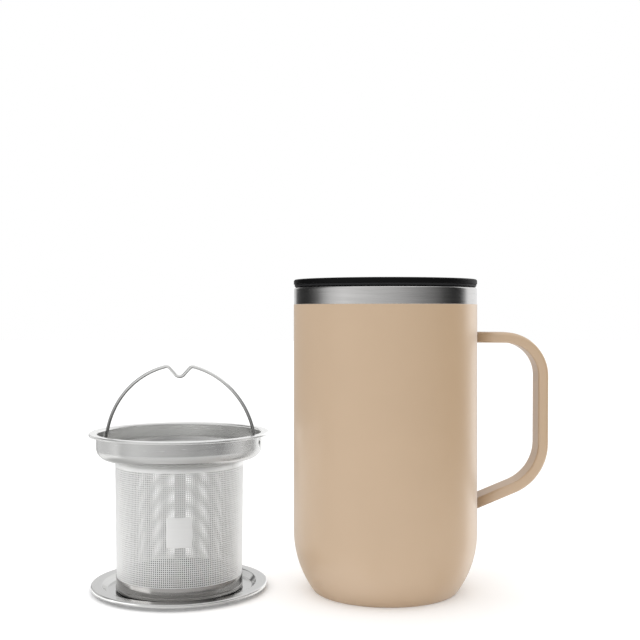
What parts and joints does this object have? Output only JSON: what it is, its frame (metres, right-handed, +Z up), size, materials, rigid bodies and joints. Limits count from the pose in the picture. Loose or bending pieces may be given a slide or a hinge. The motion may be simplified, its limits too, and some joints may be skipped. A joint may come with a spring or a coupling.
{
  "type": "lidded tea mug with infuser",
  "caption": "Insulated steel mug with a strap handle and a press-in lid, beside a perforated steel tea infuser with a folding wire bail that stands on its round tray.",
  "frame": {"origin": "centre of the mug's foot, on the surface that the mug stands on", "axes": "+Z up along the mug's axis, +X towards the mug's handle and away from the infuser, -Y towards the sip hole"},
  "size_m": [0.2099, 0.084, 0.1417],
  "materials": {
    "coated_steel": "matte beige powder coat",
    "brushed_steel": "brushed round the mug's axis",
    "satin_steel": "satin, spun",
    "polished_wire": "polished steel wire",
    "black_plastic": "satin moulded black",
    "black_silicone": "matte silicone",
    "getter_metal": "sintered, dull",
    "sealing_glass": "melted bead"
  },
  "bodies": {
    "mug": {"inner_liner": "brushed_steel", "liner_bottom": "brushed_steel", "outer_shell": "coated_steel", "outer_bottom": "brushed_steel", "getter": "getter_metal", "evacuation_seal": "sealing_glass", "handle": "coated_steel"},
    "lid": {"lid_body": "black_plastic", "lid_cover": "black_plastic", "lid_gasket": "black_silicone"},
    "slider": {"slider": "black_plastic", "slider_seal": "black_silicone", "slider_clip": "black_plastic"},
    "tray": {"tray": "satin_steel"},
    "infuser": {"infuser_collar": "satin_steel", "strainer_wall": "satin_steel", "strainer_seam": "satin_steel", "strainer_floor": "satin_steel", "foot_ring": "satin_steel"},
    "bail": {"bail": "polished_wire"}
  },
  "joints": [
    {"name": "lid_lift", "type": "slide", "parent": "mug", "child": "lid", "axis": [0, 0, 1], "range_m": [0, 0.1]},
    {"name": "slider_slide", "type": "slide", "parent": "lid", "child": "slider", "axis": [0, 1, 0], "range_m": [0, 0.009]},
    {"name": "tray_slide", "type": "slide", "parent": "mug", "child": "tray", "axis": [-1, 0, 0], "range_m": [0, 0.1]},
    {"name": "infuser_lift", "type": "slide", "parent": "tray", "child": "infuser", "axis": [0, 0, 1], "range_m": [0, 0.08]},
    {"name": "bail_swing", "type": "hinge", "parent": "infuser", "child": "bail", "pos_m": [-0.0946, 0, 0.0676], "axis": [0.9848, -0.1736, 0], "range_deg": [-96, 96]}
  ]
}
